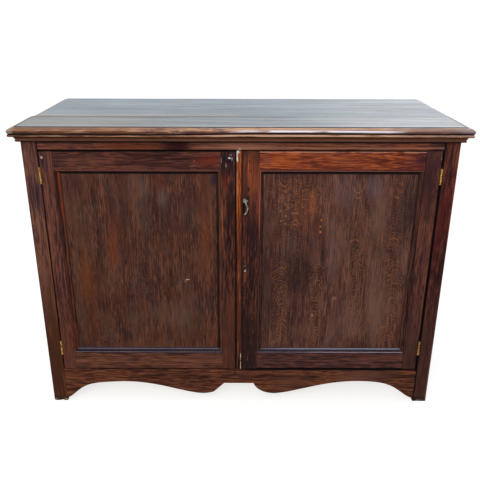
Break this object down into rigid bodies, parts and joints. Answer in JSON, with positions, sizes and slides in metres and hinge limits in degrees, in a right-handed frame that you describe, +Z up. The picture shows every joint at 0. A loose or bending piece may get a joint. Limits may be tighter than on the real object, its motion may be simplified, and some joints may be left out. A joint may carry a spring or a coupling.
{
  "type": "sideboard",
  "caption": "Low oak cupboard with a moulded top, framed and panelled doors on butt hinges, a scrolled apron, a shelf, a lock and sliding bolts.",
  "frame": {"origin": "on the floor, in the middle of the overall box", "axes": "+X to the right as one faces the doors, +Y towards the back, +Z up"},
  "size_m": [1.356, 0.566, 0.963],
  "materials": {
    "oak_top": "old waxed oak, greyed, with a satin sheen",
    "oak_moulding": "waxed oak with worn, paler edges",
    "oak_frame": "dark waxed oak",
    "oak_panel": "dark quarter-sawn oak, waxed",
    "oak_door": "dark waxed oak, reddish where worn",
    "oak_bead": "waxed oak, orange brown",
    "pine": "bare pine, aged and dusty",
    "brass": "aged brass",
    "steel": "plain drawn wire",
    "iron": "old iron with a pale bloom"
  },
  "bodies": {
    "carcase": {"top_front_board": "oak_top", "top_back_board": "oak_top", "bed_moulding_front": "oak_moulding", "bed_moulding_left": "oak_moulding", "bed_moulding_right": "oak_moulding", "front_post_left": "oak_frame", "front_post_right": "oak_frame", "rear_post_left": "oak_frame", "rear_post_right": "oak_frame", "frieze_rail": "oak_frame", "apron": "oak_frame", "left_end_top_rail": "oak_frame", "left_end_bottom_rail": "oak_frame", "right_end_top_rail": "oak_frame", "right_end_bottom_rail": "oak_frame", "left_end_panel": "oak_panel", "right_end_panel": "oak_panel", "rear_top_rail": "pine", "rear_bottom_rail": "pine", "back_board_1": "pine", "back_board_2": "pine", "back_board_3": "pine", "back_board_4": "pine", "back_board_5": "pine", "bottom_board": "pine", "bottom_bearers": "pine", "shelf": "pine", "shelf_bearers": "pine", "glue_blocks": "pine", "door_stop": "pine", "post_hinge_leaves": "brass", "post_hinge_screws": "brass", "hinge_pins": "steel"},
    "left_door": {"left_door_hinge_stile": "oak_door", "left_door_meeting_stile": "oak_door", "left_door_top_rail": "oak_door", "left_door_bottom_rail": "oak_door", "left_door_panel": "oak_panel", "left_door_moulding": "oak_door", "left_door_hinge_leaves": "brass", "left_door_hinge_screws": "brass", "strike_plate": "brass", "bolt_plates": "brass"},
    "right_door": {"right_door_hinge_stile": "oak_door", "right_door_meeting_stile": "oak_door", "right_door_top_rail": "oak_door", "right_door_bottom_rail": "oak_door", "right_door_panel": "oak_panel", "right_door_moulding": "oak_door", "right_door_hinge_leaves": "brass", "right_door_hinge_screws": "brass", "meeting_bead": "oak_bead", "lock_case": "iron", "keyhole_liner": "brass", "pull_plate": "iron"},
    "top_bolt": {"top_bolt": "brass"},
    "bottom_bolt": {"bottom_bolt": "brass"},
    "lock_bolt": {"lock_bolt": "brass"},
    "drop_pull": {"drop_pull": "iron"}
  },
  "joints": [
    {"name": "left_door_swing", "type": "hinge", "parent": "carcase", "child": "left_door", "pos_m": [-0.603, -0.2565, 0.5115], "axis": [0, 0, -1], "range_deg": [0, 175]},
    {"name": "right_door_swing", "type": "hinge", "parent": "carcase", "child": "right_door", "pos_m": [0.603, -0.2565, 0.5115], "axis": [0, 0, 1], "range_deg": [0, 175]},
    {"name": "lock_bolt_slide", "type": "slide", "parent": "right_door", "child": "lock_bolt", "axis": [-1, 0, 0], "range_m": [0, 0.009]},
    {"name": "top_bolt_slide", "type": "slide", "parent": "left_door", "child": "top_bolt", "axis": [0, 0, 1], "range_m": [0, 0.012]},
    {"name": "bottom_bolt_slide", "type": "slide", "parent": "left_door", "child": "bottom_bolt", "axis": [0, 0, -1], "range_m": [0, 0.012]},
    {"name": "pull_swing", "type": "hinge", "parent": "right_door", "child": "drop_pull", "pos_m": [0.0145, -0.261, 0.735], "axis": [-1, 0, 0], "range_deg": [-4, 170]}
  ]
}
